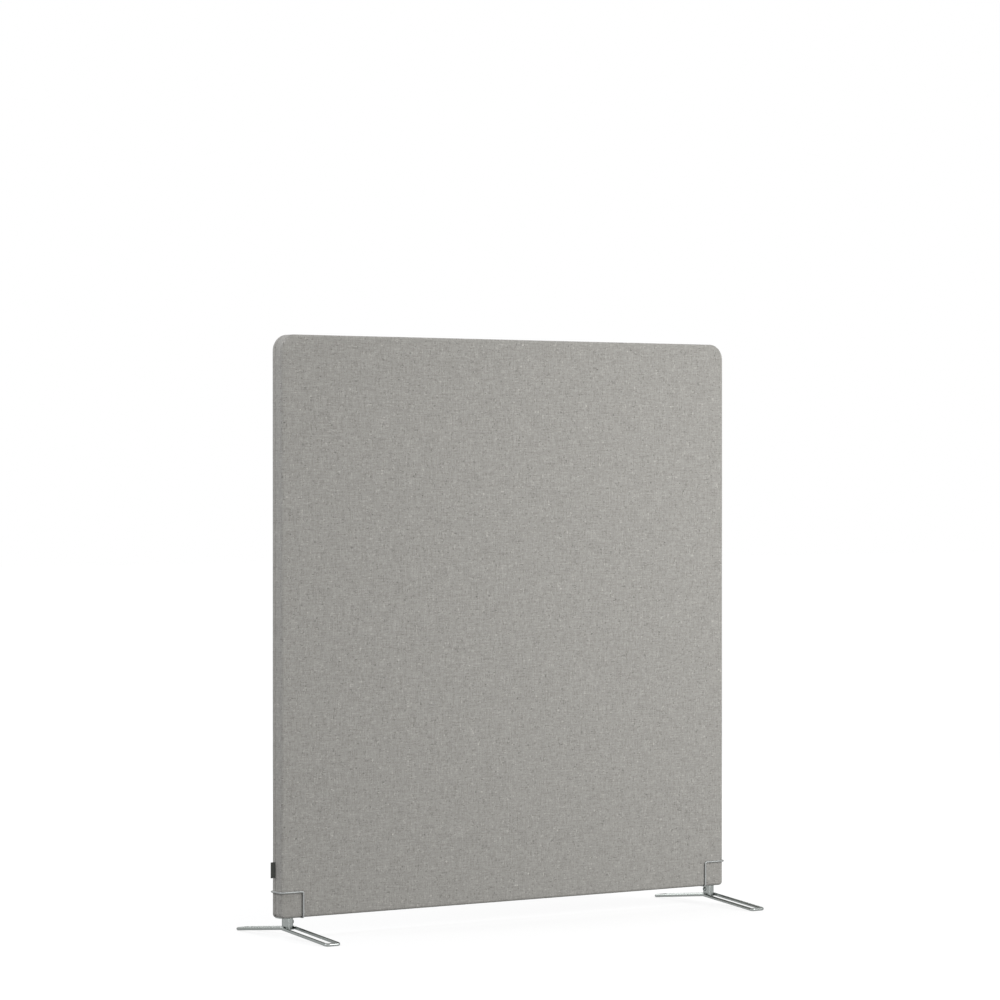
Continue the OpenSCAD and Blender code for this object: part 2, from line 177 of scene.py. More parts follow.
def add(tree, kind, inputs=None, stops=(), **settings):
    """Add a node with its settings, its inputs (values, or what links to them) and a ramp's hex colours."""
    made = tree.nodes.new(kind)
    for name, value in settings.items():
        setattr(made, name, value)
    for key, value in (inputs or {}).items():
        if isinstance(value, bpy.types.Node):
            value = value.outputs[0]
        if isinstance(value, bpy.types.NodeSocket):
            tree.links.new(value, made.inputs[key])
        else:
            made.inputs[key].default_value = value
    if stops:
        elements = made.color_ramp.elements
        while len(elements) < len(stops):
            elements.new(0.5)
        for element, (place, code) in zip(elements, stops):
            element.position = place
            element.color = linear(code)
    return made


def new_material(name):
    """A material, and its empty tree of nodes."""
    material = bpy.data.materials.new(name)
    material.use_nodes = True
    material.node_tree.nodes.clear()
    return material, material.node_tree


# Lengths and widths in the materials are in millimetres.

# Wool melange in a plain weave: two sets of yarns, each with light and dark stretches, matt and a bit hairy.
# The real yarns are about 1 mm wide. They are drawn 1.6 mm wide, so that the dashes show from across a room.
YARN_W = 1.6
DASH_L = 9.0
SLUB_L = 40.0
SLUB_DEPTH = 0.85
# Where each set of yarns and the slubs start in the noise, far apart so that they don't repeat each other
UPRIGHT_START = 0.31
LEVEL_START = 57.7
SLUB_START = 201.3
NEIGHBOUR_STEP = 0.7
WAVER_L = 4.5
WAVER_W = 1.5
CLOUD_L = 45.0
CLOUD_DEPTH = 0.012
FLECK_SHARE = 0.06
FLECK_DEPTH = 0.38
FLECK_CROWNS = 3
FLECK_PATCH_L = 14.0
# Painted shade where the yarns dive under each other, and painted light on their crowns
PAINTED_DIVE_SHADE = 0.88
PAINTED_CROWN_LIGHT = 1.04
YARN_RELIEF = 0.25
FUZZ_L = 0.35
FUZZ_SHARE = 0.35
WOOL_DARK = "#8c8984"
WOOL_DIM = "#a19f9a"
WOOL_MID = "#a7a5a0"
WOOL_LIGHT = "#bcbab5"


def melange_wool():
    material, tree = new_material("melange_wool")
    flat_noise = {"noise_dimensions": "2D"}
    place = add(tree, "ShaderNodeUVMap", uv_map="cloth")
    # Spun yarns waver a little from side to side
    sway = add(tree, "ShaderNodeTexNoise", {
        "Vector": place, "Scale": 1 / (WAVER_L * MM), "Detail": 2}, **flat_noise)
    sway = add(tree, "ShaderNodeVectorMath", {0: sway.outputs["Color"], 1: (0.5, 0.5, 0.5)},
               operation="SUBTRACT")
    wavering = add(tree, "ShaderNodeVectorMath", {0: sway, 1: (WAVER_W * MM,) * 3, 2: place},
                   operation="MULTIPLY_ADD")
    yarns = add(tree, "ShaderNodeVectorMath", {0: wavering, 3: 1 / (YARN_W * MM)}, operation="SCALE")
    across = add(tree, "ShaderNodeSeparateXYZ", {0: yarns}).outputs
    number = [add(tree, "ShaderNodeMath", {0: across[i]}, operation="FLOOR") for i in (0, 1)]
    tone, rounding = [], []
    for own, other, start in ((0, 1, UPRIGHT_START), (1, 0, LEVEL_START)):
        # Each yarn follows its own line through the noise, near its neighbour's, so some stretches pair up
        line = add(tree, "ShaderNodeMath", {0: number[own], 1: NEIGHBOUR_STEP, 2: start},
                   operation="MULTIPLY_ADD")
        slub_line = add(tree, "ShaderNodeMath", {0: line, 1: SLUB_START}, operation="ADD")
        # Short dashes, and slubs: longer stretches where a yarn is a little lighter or darker than the next
        stretches = []
        for row, length, detail in ((line, DASH_L, 2), (slub_line, SLUB_L, 1)):
            along = add(tree, "ShaderNodeMath", {0: across[other], 1: YARN_W / length}, operation="MULTIPLY")
            spot = add(tree, "ShaderNodeCombineXYZ", {0: row, 1: along})
            stretches.append(add(tree, "ShaderNodeTexNoise", {
                "Vector": spot, "Scale": 1, "Detail": detail, "Roughness": 0.6}, **flat_noise))
        dash, slub = stretches
        slub = add(tree, "ShaderNodeMath", {0: slub, 1: 0.5}, operation="SUBTRACT")
        tone.append(add(tree, "ShaderNodeMath", {0: slub, 1: SLUB_DEPTH, 2: dash}, operation="MULTIPLY_ADD"))
        part = add(tree, "ShaderNodeMath", {0: across[own]}, operation="FRACT")
        turn = add(tree, "ShaderNodeMath", {0: part, 1: math.pi}, operation="MULTIPLY")
        rounding.append(add(tree, "ShaderNodeMath", {0: turn}, operation="SINE"))
    # The two sets of yarns lie on top by turns
    total = add(tree, "ShaderNodeMath", {0: number[0], 1: number[1]}, operation="ADD")
    odd = add(tree, "ShaderNodeMath", {0: total, 1: 2}, operation="FLOORED_MODULO")
    shade = add(tree, "ShaderNodeMix", {0: odd, 2: tone[0], 3: tone[1]})
    colour = add(tree, "ShaderNodeValToRGB", {0: shade}, stops=(
        (0.18, WOOL_DARK), (0.39, WOOL_DIM), (0.59, WOOL_MID), (0.83, WOOL_LIGHT)))
    # Here and there a stretch of yarn shows a fleck of undyed or of black fibre, in some patches more often
    patch = add(tree, "ShaderNodeTexNoise", {
        "Vector": place, "Scale": 1 / (FLECK_PATCH_L * MM), "Detail": 1, "Roughness": 0.6}, **flat_noise)
    patch = add(tree, "ShaderNodeMapRange", {0: patch, 1: 0.4, 2: 0.6})
    fleck = 1
    for own in (0, 1):
        crowns = add(tree, "ShaderNodeMath", {0: number[1 - own], 1: FLECK_CROWNS}, operation="DIVIDE")
        stretch = add(tree, "ShaderNodeMath", {0: crowns}, operation="FLOOR")
        spot = add(tree, "ShaderNodeCombineXYZ", {0: number[own], 1: stretch, 2: own})
        chance = add(tree, "ShaderNodeTexWhiteNoise", {"Vector": spot})
        light = add(tree, "ShaderNodeMapRange", {0: chance, 1: 1 - FLECK_SHARE, 2: 1, 4: FLECK_DEPTH})
        dark = add(tree, "ShaderNodeMapRange", {0: chance, 1: FLECK_SHARE, 2: 0, 4: FLECK_DEPTH})
        change = add(tree, "ShaderNodeMath", {0: light, 1: dark}, operation="SUBTRACT")
        fleck = add(tree, "ShaderNodeMath", {0: change, 1: patch, 2: fleck}, operation="MULTIPLY_ADD")
    # Crowns of the yarns: painted shade where they dive under each other, and a little painted light on the
    # crowns
    crown = add(tree, "ShaderNodeMath", {0: rounding[0], 1: rounding[1]}, operation="MULTIPLY")
    depth = add(tree, "ShaderNodeMapRange", {0: crown, 3: PAINTED_DIVE_SHADE, 4: PAINTED_CROWN_LIGHT})
    cloud = add(tree, "ShaderNodeTexNoise", {
        "Vector": place, "Scale": 1 / (CLOUD_L * MM), "Detail": 3, "Roughness": 0.6}, **flat_noise)
    cloud = add(tree, "ShaderNodeMapRange", {
        0: cloud, 1: 0.3, 2: 0.7, 3: 1 - CLOUD_DEPTH, 4: 1 + CLOUD_DEPTH})
    darker = add(tree, "ShaderNodeMath", {0: depth, 1: fleck}, operation="MULTIPLY")
    darker = add(tree, "ShaderNodeMath", {0: darker, 1: cloud}, operation="MULTIPLY")
    dyed = add(tree, "ShaderNodeVectorMath", {0: colour, 3: darker}, operation="SCALE")
    fuzz = add(tree, "ShaderNodeTexNoise", {
        "Vector": place, "Scale": 1 / (FUZZ_L * MM), "Detail": 1, "Roughness": 0.6}, **flat_noise)
    height = add(tree, "ShaderNodeMath", {0: fuzz, 1: FUZZ_SHARE, 2: crown}, operation="MULTIPLY_ADD")
    bump = add(tree, "ShaderNodeBump", {"Height": height, "Strength": 0.5, "Distance": YARN_RELIEF * MM})
    skin = add(tree, "ShaderNodeBsdfPrincipled", {
        "Base Color": dyed, "Normal": bump, "Roughness": 0.92, "Specular IOR Level": 0.25,
        "Sheen Weight": 0.12, "Sheen Roughness": 0.6})
    add(tree, "ShaderNodeOutputMaterial", {"Surface": skin})
    return material


# Woven polyester label: fine cross ribs in charcoal yarn, with a faint gloss and painted shade in the
# troughs between the ribs.
RIB_W = 0.5
RIB_RELIEF = 0.08
LABEL_GRAIN = 0.4
# The width of one band of a wave texture at scale 1
WAVE_BAND = 0.314


def label_weave():
    material, tree = new_material("label_weave")
    place = add(tree, "ShaderNodeTexCoord").outputs["Object"]
    ribs = add(tree, "ShaderNodeTexWave", {
        "Vector": place, "Scale": WAVE_BAND / (RIB_W * MM), "Distortion": 0.4},
        bands_direction="Z").outputs[1]
    grain = add(tree, "ShaderNodeTexNoise", {"Vector": place, "Scale": 1 / (LABEL_GRAIN * MM), "Detail": 2})
    # Painted shade: the label is darker in the troughs of its ribs and lighter on their crests, mottled by
    # the grain
    shade = add(tree, "ShaderNodeMath", {0: ribs, 1: grain}, operation="MULTIPLY")
    colour = add(tree, "ShaderNodeValToRGB", {0: shade}, stops=((0.1, "#4c4e4b"), (0.6, "#6a6c68")))
    bump = add(tree, "ShaderNodeBump", {"Height": ribs, "Strength": 0.6, "Distance": RIB_RELIEF * MM})
    skin = add(tree, "ShaderNodeBsdfPrincipled", {
        "Base Color": colour, "Normal": bump, "Roughness": 0.7, "Specular IOR Level": 0.35})
    add(tree, "ShaderNodeOutputMaterial", {"Surface": skin})
    return material


# A metal's faint patches are this many grains wide
PATCH_GRAINS = 8
WHITE_RIM = (1, 1, 1, 1)


def metal(name, light, dark, roughness, rim=WHITE_RIM, grain=0.6, relief=0.02):
    """A metal with faint patches between two colours, fine relief of one grain size, and a rim tint for its
    reflections at grazing angles; a grey tint paints shade on the rims.
    """
    material, tree = new_material(name)
    place = add(tree, "ShaderNodeTexCoord").outputs["Object"]
    patches = add(tree, "ShaderNodeTexNoise", {
        "Vector": place, "Scale": 1 / (PATCH_GRAINS * grain * MM), "Detail": 3})
    colour = add(tree, "ShaderNodeValToRGB", {0: patches}, stops=((0.35, dark), (0.65, light)))
    fine = add(tree, "ShaderNodeTexNoise", {"Vector": place, "Scale": 1 / (grain * MM), "Detail": 2})
    bump = add(tree, "ShaderNodeBump", {"Height": fine, "Strength": 0.5, "Distance": relief * MM})
    skin = add(tree, "ShaderNodeBsdfPrincipled", {
        "Base Color": colour, "Normal": bump, "Metallic": 1.0, "Roughness": roughness, "Specular Tint": rim})
    add(tree, "ShaderNodeOutputMaterial", {"Surface": skin})
    return material


# Wood's streaks are this many times as long as they are wide
STREAK_STRETCH = 40
WOOD_RELIEF = 0.1


def wood(name, light, dark, grain, axis):
    """Planed wood: streaks along one axis, 0 for X or 2 for Z."""
    material, tree = new_material(name)
    place = add(tree, "ShaderNodeTexCoord").outputs["Object"]
    scale = [1 / (grain * MM)] * 3
    scale[axis] /= STREAK_STRETCH
    fibres = add(tree, "ShaderNodeMapping", {"Vector": place, "Scale": scale})
    streaks = add(tree, "ShaderNodeTexNoise", {"Vector": fibres, "Scale": 1, "Detail": 4, "Distortion": 0.6})
    colour = add(tree, "ShaderNodeValToRGB", {0: streaks}, stops=((0.3, dark), (0.7, light)))
    bump = add(tree, "ShaderNodeBump", {"Height": streaks, "Strength": 0.3, "Distance": WOOD_RELIEF * MM})
    skin = add(tree, "ShaderNodeBsdfPrincipled", {"Base Color": colour, "Normal": bump, "Roughness": 0.65})
    add(tree, "ShaderNodeOutputMaterial", {"Surface": skin})
    return material


TUFT_RELIEF = 0.5


def fibre(name, light, dark, length):
    """Matted fibres: soft mottling of one length, without any gloss."""
    material, tree = new_material(name)
    place = add(tree, "ShaderNodeTexCoord").outputs["Object"]
    tufts = add(tree, "ShaderNodeTexNoise", {
        "Vector": place, "Scale": 1 / (length * MM), "Detail": 5, "Roughness": 0.7, "Distortion": 1.5})
    colour = add(tree, "ShaderNodeValToRGB", {0: tufts}, stops=((0.3, dark), (0.7, light)))
    bump = add(tree, "ShaderNodeBump", {"Height": tufts, "Strength": 0.8, "Distance": TUFT_RELIEF * MM})
    skin = add(tree, "ShaderNodeBsdfPrincipled", {
        "Base Color": colour, "Normal": bump, "Roughness": 1.0, "Specular IOR Level": 0.1,
        "Sheen Weight": 0.2})
    add(tree, "ShaderNodeOutputMaterial", {"Surface": skin})
    return material


WOOL = melange_wool()
LABEL = label_weave()
# A grey gloss tint darkens the metal's reflections at grazing angles: painted shade on the rims, in place of
# a darker room for them to reflect
PAINTED_DARK_RIM = (0.45, 0.45, 0.45, 1)
# Mild steel in silver-grey flake lacquer: satin, a little cool, with a soft highlight, and painted shade on
# the rims
LACQUER = metal("silver_lacquer", "#9a9e9c", "#929694", 0.24, PAINTED_DARK_RIM)
# The same lacquer over weld beads: a little darker and rougher, with the same painted shade on the rims
WELD = metal("lacquered_weld", "#8e9290", "#808482", 0.4, PAINTED_DARK_RIM, grain=0.8, relief=0.08)
# Drawn steel wire in the same lacquer: a little brighter and more matt, with the same painted shade on the
# rims
WIRE = metal("lacquered_wire", "#9fa1a0", "#979998", 0.5, PAINTED_DARK_RIM, grain=0.4, relief=0.006)
# Turned mild steel, left bare inside the post: brighter than the lacquer, with bright rims
BARE = metal("turned_steel", "#a9aeab", "#9a9f9c", 0.38)
# Wood screws of pressed steel with a thin zinc coat: pale, with a clear highlight
ZINC = metal("zinc_screw", "#b9bbb7", "#a3a6a2", 0.35, grain=0.5)
# Clamp screws of turned steel with a smoky zinc coat: mid grey, with painted shade on the rims
SMOKY_ZINC = metal("smoky_zinc_screw", "#9ba09e", "#8b908e", 0.3, PAINTED_DARK_RIM, grain=0.5)
# Galvanised staple wire: pale blue-grey and a little dull
GALVANISED = metal("galvanised_staple", "#b4b7b8", "#a2a5a6", 0.4, grain=0.3)
# Planed spruce: pale yellow with browner streaks, along the rails and along the stiles
SPRUCE_X = wood("spruce_rail", "#dcc092", "#c29e68", 1.6, 0)
SPRUCE_Z = wood("spruce_stile", "#dcc092", "#c29e68", 1.6, 2)
# Beech dowels: a redder brown, closer in grain
BEECH = wood("beech_dowel", "#c9a374", "#b58c5c", 0.8, 2)
# Hardboard, pressed from wood fibres: matt mottled brown
HARDBOARD = fibre("hardboard", "#84694a", "#6b5339", 0.8)
# Needled polyester slab: matt pale grey with soft tufts
SLAB = fibre("needled_slab", "#bfc1ba", "#a4a79f", 4.0)
# Polyester fleece wadding: soft off-white
FLEECE = fibre("fleece", "#eceae4", "#d8d6cf", 2.5)

CAD_FINISH = {
    "frame_top_rail": SPRUCE_X, "frame_bottom_rail": SPRUCE_X,
    "frame_left_stile": SPRUCE_Z, "frame_right_stile": SPRUCE_Z, "frame_dowels": BEECH,
    "centre_board": HARDBOARD, "front_absorber": SLAB, "back_absorber": SLAB,
    "front_wadding": FLEECE, "back_wadding": FLEECE, "cover_staples": GALVANISED,
}
for hand in ("left", "right"):
    CAD_FINISH.update({
        hand + "_bracket_plate": LACQUER, hand + "_bracket_welds": WELD, hand + "_spigot": BARE,
        hand + "_bracket_screws": ZINC, hand + "_foot_welds": WELD, hand + "_clamp_screw": SMOKY_ZINC,
    })
for node_name, finish in CAD_FINISH.items():
    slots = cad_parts[node_name].data.materials
    slots.clear()
    slots.append(finish)


# The woven cover, in a front and a back half

def corner_centre(x, z, low, high):
    """The nearest point of the panel's outline, taken in by the corner radii, seen from the front."""
    radius = TOP_CORNER_R if z > (low.z + high.z) / 2 else BOTTOM_CORNER_R
    side = max(low.x + radius, min(high.x - radius, x))
    level = max(low.z + BOTTOM_CORNER_R, min(high.z - TOP_CORNER_R, z))
    return side, level


def lay_out_cloth(piece, low, high, face_y):
    """Give the cloth its own map in metres: the face lies flat, and the edges go on outwards from it."""
    mesh = piece.data
    layer = mesh.uv_layers.new(name="cloth")
    places = []
    for vertex in mesh.vertices:
        x, y, z = vertex.co
        side, level = corner_centre(x, z, low, high)
        out = Vector((x - side, z - level))
        depth = abs(y - face_y)
        if depth < EDGE_R:
            angle = math.acos(1 - depth / EDGE_R)
            extra = EDGE_R * (angle - math.sin(angle))
        else:
            extra = RIM_EXTRA + depth - EDGE_R
        shift = out.normalized() * extra if out.length > MERGE else Vector((0, 0))
        places.append((x + shift.x, z + shift.y))
    for loop in mesh.loops:
        layer.data[loop.index].uv = places[loop.vertex_index]


def press_in(side, low):
    """Let the cloth's underside, in edit mode, give way to the plates and to the wires' runs beside them."""
    for hand, outward in (("left", -1), ("right", 1)):
        plate_low, plate_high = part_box(hand + "_bracket_plate")
        wire_low, wire_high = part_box(hand + "_corner_wire")
        run_x = wire_low.x + WIRE_D / 2 if outward > 0 else wire_high.x - WIRE_D / 2
        half_run = WIRE_D / 2 + PRESS_GAP
        for start, end, half_width, top in (
                (plate_low.x - PRESS_GAP, plate_high.x + PRESS_GAP, plate_high.y + PRESS_GAP, plate_high.z),
                (run_x - half_run, run_x + half_run, wire_high.y, wire_low.z + WIRE_D + PRESS_GAP)):
            cuts = [((x, 0, 0), (1, 0, 0)) for x in (start - PRESS_SLOPE, start, end, end + PRESS_SLOPE)]
            cuts.append(((0, side * half_width, 0), (0, 1, 0)))
            for spot, normal in cuts:
                pick("FACE", lambda f: middle(f).z < low.z + EDGE_R)
                bpy.ops.mesh.bisect(plane_co=spot, plane_no=normal)
            mesh = bmesh.from_edit_mesh(bpy.context.object.data)
            for v in mesh.verts:
                x, y, z = v.co
                if start - MERGE < x < end + MERGE and abs(y) < half_width + MERGE and z < top:
                    v.co.z = top
            bmesh.update_edit_mesh(bpy.context.object.data)


def cover_half(side, name, node):
    """One half of the cover: a flat face, rounded rims, sides up to the seam and an edge turned in."""
    low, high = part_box(node)
    face_y = low.y if side < 0 else high.y
    seam_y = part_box("front_cover")[1].y
    middle_y = (face_y + seam_y) / 2
    width, height, depth = high.x - low.x, high.z - low.z, abs(face_y - seam_y)
    deselect()
    bpy.ops.mesh.primitive_cube_add(size=1, location=((low.x + high.x) / 2, middle_y, (low.z + high.z) / 2),
                                    scale=(width, depth, height))
    piece = settle(bpy.context.object, name)
    edit(piece)
    # Round corners as seen from the front
    for level, radius, steps in ((high.z, TOP_CORNER_R, TOP_CORNER_STEPS),
                                 (low.z, BOTTOM_CORNER_R, BOTTOM_CORNER_STEPS)):
        pick("EDGE", lambda e: abs(middle(e).y - middle_y) < MERGE and abs(middle(e).z - level) < MERGE)
        bpy.ops.mesh.bevel(offset=radius, segments=steps, affect="EDGES")
    # The side that meets the other half stays open
    pick("FACE", lambda f: abs(middle(f).y - seam_y) < MERGE)
    bpy.ops.mesh.delete(type="FACE")
    # Rounded rim between the face and the edges
    pick("EDGE", lambda e: all(abs(v.co.y - face_y) < MERGE for v in e.verts))
    bpy.ops.mesh.bevel(offset=EDGE_R, segments=EDGE_STEPS, affect="EDGES")
    # Cuts that give the cloth a net of small cells to dip in
    for normal, start, end in (((1, 0, 0), low.x, high.x), ((0, 0, 1), low.z, high.z)):
        count = round((end - start) / CLOTH_CELL)
        for i in range(1, count):
            spot = Vector(normal) * (start + (end - start) * i / count)
            bpy.ops.mesh.select_all(action="SELECT")
            bpy.ops.mesh.bisect(plane_co=spot, plane_no=normal)
    # The seam lies behind the panel's middle. Under the panel each edge turns to the middle, short of a slit
    edge_y, slit_y = seam_y + side * SEAM_GAP, side * SLIT_HALF
    pick("VERT", lambda v: v.is_boundary)
    mesh = bmesh.from_edit_mesh(piece.data)
    for v in mesh.verts:
        if v.select:
            rise = min(1, max(0, (v.co.z - low.z) / BOTTOM_CORNER_R))
            v.co.y = edge_y + (slit_y - edge_y) * (1 - rise) ** 2
    bmesh.update_edit_mesh(piece.data)
    press_in(side, low)
    # Edge turned in: the seam's allowance at the sides and on top, the fold of the slit below
    pick("EDGE", lambda e: e.is_boundary)
    bpy.ops.mesh.extrude_region_move()
    mesh = bmesh.from_edit_mesh(piece.data)
    for v in mesh.verts:
        if v.select:
            x, level = corner_centre(v.co.x, v.co.z, low, high)
            inward = Vector((x - v.co.x, 0, level - v.co.z))
            v.co += inward.normalized() * HEM_DEPTH
    bmesh.update_edit_mesh(piece.data)
    # The fold along the seam is rolled, not sharp
    folds = [e for e in mesh.edges if not e.is_boundary and e.calc_face_angle(0) > FOLD_ANGLE]
    last_y = max(side * edge_y, side * slit_y) + MERGE
    near_seam = {e.index for e in folds if side * middle(e).y < last_y}
    pick("EDGE", lambda e: e.index in near_seam)
    bpy.ops.mesh.bevel(offset=SEAM_ROLL_R, segments=SEAM_ROLL_STEPS, affect="EDGES")
    bpy.ops.mesh.select_all(action="SELECT")
    bpy.ops.mesh.remove_doubles(threshold=MERGE)
    deselect()
    lay_out_cloth(piece, low, high, face_y)
    # Stretched cloth dips a little here and there, and never bulges
    dips = bpy.data.textures.new(name + "_dips", "CLOUDS")
    dips.noise_scale = CLOTH_DIP_SPAN
    apply_modifier(piece, "DISPLACE", texture=dips, strength=CLOTH_DIP, mid_level=1.0,
                   texture_coords="GLOBAL")
    apply_modifier(piece, "SOLIDIFY", thickness=CLOTH_T, offset=-1)
    finish_piece(piece, "screen", WOOL, [node])


# Side tag: a short ribbon folded round, both ends sewn into the seam

def folded_tag():
    low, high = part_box("side_tag")
    seam_y = (low.y + high.y) / 2
    height = high.z - low.z
    straight = high.x - low.x - TAG_FOLD_R - TAG_PLY_T / 2
    cells = round(straight / TAG_CELL)
    fold_x = high.x - straight
    deselect()
    bpy.ops.mesh.primitive_grid_add(size=1, x_subdivisions=cells, y_subdivisions=round(height / TAG_CELL))
    piece = bpy.context.object
    piece.scale = (straight, height, 1)
    piece.rotation_euler = (math.pi / 2, 0, 0)
    piece.location = (high.x - straight / 2, seam_y - TAG_FOLD_R, (low.z + high.z) / 2)
    settle(piece, "woven_tag")
    edit(piece)
    pick("EDGE", lambda e: e.is_boundary and all(abs(v.co.x - fold_x) < MERGE for v in e.verts))
    bpy.ops.mesh.spin(steps=TAG_FOLD_STEPS, angle=math.pi, center=(fold_x, seam_y, 0), axis=(0, 0, 1))
    for _ in range(cells):
        bpy.ops.mesh.extrude_region_move(TRANSFORM_OT_translate={"value": (straight / cells, 0, 0)})
    bpy.ops.mesh.select_all(action="SELECT")
    bpy.ops.mesh.remove_doubles(threshold=MERGE)
    bpy.ops.mesh.normals_make_consistent(inside=False)
    deselect()
    apply_modifier(piece, "SOLIDIFY", thickness=TAG_PLY_T, offset=0)
    finish_piece(piece, "screen", LABEL, ["side_tag"])


# Bent rods and wires

def bent_rod(name, corners, radii, diameter, sides):
    """A closed loop of round rod: a ring pushed along each straight and spun round each corner."""
    start = (corners[-1] + corners[0]) / 2
    heading = (corners[0] - start).normalized()
    deselect()
    bpy.ops.mesh.primitive_circle_add(vertices=sides, radius=diameter / 2, location=start,
                                      rotation=heading.to_track_quat("Z", "Y").to_euler())
    piece = settle(bpy.context.object, name)
    edit(piece)
    bpy.ops.mesh.select_mode(type="EDGE")
    bpy.ops.mesh.select_all(action="SELECT")
    here = start
    for i, corner in enumerate(corners):
        into = (corner - here).normalized()
        onward = (corners[(i + 1) % len(corners)] - corner).normalized()
        turn = into.angle(onward)
        reach = radii[i] * math.tan(turn / 2)
        bpy.ops.mesh.extrude_region_move(TRANSFORM_OT_translate={"value": corner - into * reach - here})
        centre = corner + (onward - into).normalized() * radii[i] / math.cos(turn / 2)
        steps = max(LEAST_BEND_STEPS, math.ceil(turn / BEND_STEP))
        # With no window, spin turns against the right-hand rule
        bpy.ops.mesh.spin(steps=steps, angle=-turn, center=centre, axis=into.cross(onward))
        here = corner + onward * reach
    bpy.ops.mesh.extrude_region_move(TRANSFORM_OT_translate={"value": start - here})
    bpy.ops.mesh.select_all(action="SELECT")
    bpy.ops.mesh.remove_doubles(threshold=MERGE)
    bpy.ops.mesh.normals_make_consistent(inside=False)
    return piece


def foot_rod():
    """The left foot's loop: two legs from each end bar up to the middle, a flat ground under each bar."""
    low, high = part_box("left_foot_loop")
    tube_low, tube_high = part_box("left_post_tube")
    middle_x = (tube_low.x + tube_high.x) / 2
    arm = (high.x - low.x - ROD_D) / 2
    reach = high.y - ROD_D / 2
    apex_z = tube_low.z + ROD_D / 2
    bar_z = low.z + ROD_D / 2 - FLAT_DEPTH
    corners = [Vector(c) for c in (
        (middle_x + arm, 0, apex_z), (middle_x + arm, -reach, bar_z), (middle_x - arm, -reach, bar_z),
        (middle_x - arm, 0, apex_z), (middle_x - arm, reach, bar_z), (middle_x + arm, reach, bar_z))]
    radii = [APEX_BEND_R, FOOT_CORNER_R, FOOT_CORNER_R] * 2
    piece = bent_rod("left_foot_rod", corners, radii, ROD_D, ROD_SIDES)
    bpy.ops.mesh.bisect(plane_co=(0, 0, low.z), plane_no=(0, 0, 1), use_fill=True, clear_inner=True,
                        threshold=MERGE)
    deselect()
    return piece


def corner_wire():
    """The wire round the lower left corner: across both faces and the side, down, and under the panel."""
    low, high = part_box("left_corner_wire")
    inset = WIRE_D / 2
    out_x, in_x = low.x + inset, high.x - inset
    side_y, z0, z1 = high.y - inset, low.z + inset, high.z - inset
    corners = [Vector(c) for c in (
        (in_x, -side_y, z0), (in_x, -side_y, z1), (out_x, -side_y, z1),
        (out_x, side_y, z1), (in_x, side_y, z1), (in_x, side_y, z0))]
    radii = [WIRE_BEND_R, WIRE_BEND_R, WIRE_SIDE_R, WIRE_SIDE_R, WIRE_BEND_R, WIRE_BEND_R]
    piece = bent_rod("left_wire_loop", corners, radii, WIRE_D, WIRE_SIDES)
    deselect()
    return piece


def post():
    """The left post: a short tube with softened lips, and a hole on its inboard side for the clamp screw."""
    low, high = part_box("left_post_tube")
    screw_low, screw_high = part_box("left_clamp_screw")
    deselect()
    bpy.ops.mesh.primitive_cylinder_add(vertices=POST_SIDES, radius=(high.y - low.y) / 2,
                                        depth=high.z - low.z, location=(low + high) / 2)
    piece = settle(bpy.context.object, "left_post")
    edit(piece)
    # The level faces at both ends are set in and bridged, which leaves the bore
    pick("FACE", lambda f: abs(f.normal.z) > 0.5)
    bpy.ops.mesh.inset(thickness=POST_WALL)
    bpy.ops.mesh.bridge_edge_loops()
    pick("EDGE", lambda e: e.calc_face_angle(0) > FOLD_ANGLE)
    bpy.ops.mesh.bevel(offset=POST_LIP_R, segments=POST_LIP_STEPS, affect="EDGES")
    deselect()
    screw_middle = (screw_low + screw_high) / 2
    bpy.ops.mesh.primitive_cylinder_add(vertices=CLAMP_HOLE_SIDES, radius=CLAMP_HOLE_D / 2,
                                        depth=DRILL_LENGTH, location=(screw_middle.x, 0, screw_middle.z),
                                        rotation=(0, math.pi / 2, 0))
    drill = bpy.context.object
    deselect()
    apply_modifier(piece, "BOOLEAN", object=drill, operation="DIFFERENCE", solver="EXACT")
    bpy.data.objects.remove(drill)
    return piece


def half_turned(piece, name):
    """A copy with its own mesh, turned half round the panel's upright middle line: left becomes right."""
    twin = piece.copy()
    twin.data = piece.data.copy()
    bpy.context.scene.collection.objects.link(twin)
    twin.rotation_euler = (0, 0, math.pi)
    return settle(twin, name)


cover_half(-1, "front_cloth", "front_cover")
cover_half(1, "back_cloth", "back_cover")
folded_tag()
# The corner wires belong to the screen's own body, and the rods and posts to the foot on their own side
for left, name, bodies, finish, slot, node in (
        (foot_rod(), "foot_rod", ("left_foot", "right_foot"), LACQUER, "foot_steel", "foot_loop"),
        (corner_wire(), "wire_loop", ("screen", "screen"), WIRE, "wire_steel", "corner_wire"),
        (post(), "post", ("left_foot", "right_foot"), LACQUER, "foot_steel", "post_tube")):
    right = half_turned(left, "right_" + name)
    for piece, hand, body in zip((left, right), ("left_", "right_"), bodies):
        finish_piece(piece, body, finish, [hand + node])


# Studio: a white floor and surround, four soft lamps and the room's even light

FLOOR_SIZE = 60
FLOOR_DROP = 0.2 * MM
FLOOR_GREY = "#8c8c8c"
# Far off the lamps don't reach the floor, so there it glows a little more, to end as white as the backdrop
FLOOR_GLOW = 0.765
FAR_GLOW = 0.852
LIT_RADIUS = 0.7
FAR_RADIUS = 3.0
ROOM_LIGHT = 0.6
WHITE = "#ffffff"
